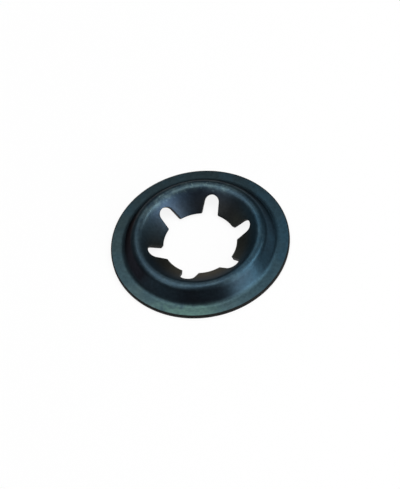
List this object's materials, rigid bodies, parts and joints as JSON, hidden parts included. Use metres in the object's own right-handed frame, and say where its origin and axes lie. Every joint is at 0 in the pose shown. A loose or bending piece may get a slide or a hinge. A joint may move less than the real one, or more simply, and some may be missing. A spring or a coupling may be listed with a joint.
{
  "type": "push-on retaining ring",
  "caption": "Round push-on retaining ring of dark spring sheet, with a flat rim, a domed ridge and inward-sloping teeth that grip a plain shaft.",
  "frame": {"origin": "on the ring's axis, in the plane that the flat rim rests on", "axes": "+Z along the axis, towards the side on which the ridge is raised; a tooth points along +X"},
  "size_m": [0.018, 0.018, 0.0019],
  "materials": {
    "blackened_spring_steel": "blue-black oxide, semi-gloss"
  },
  "bodies": {
    "root": {"retaining_ring": "blackened_spring_steel"}
  },
  "joints": []
}
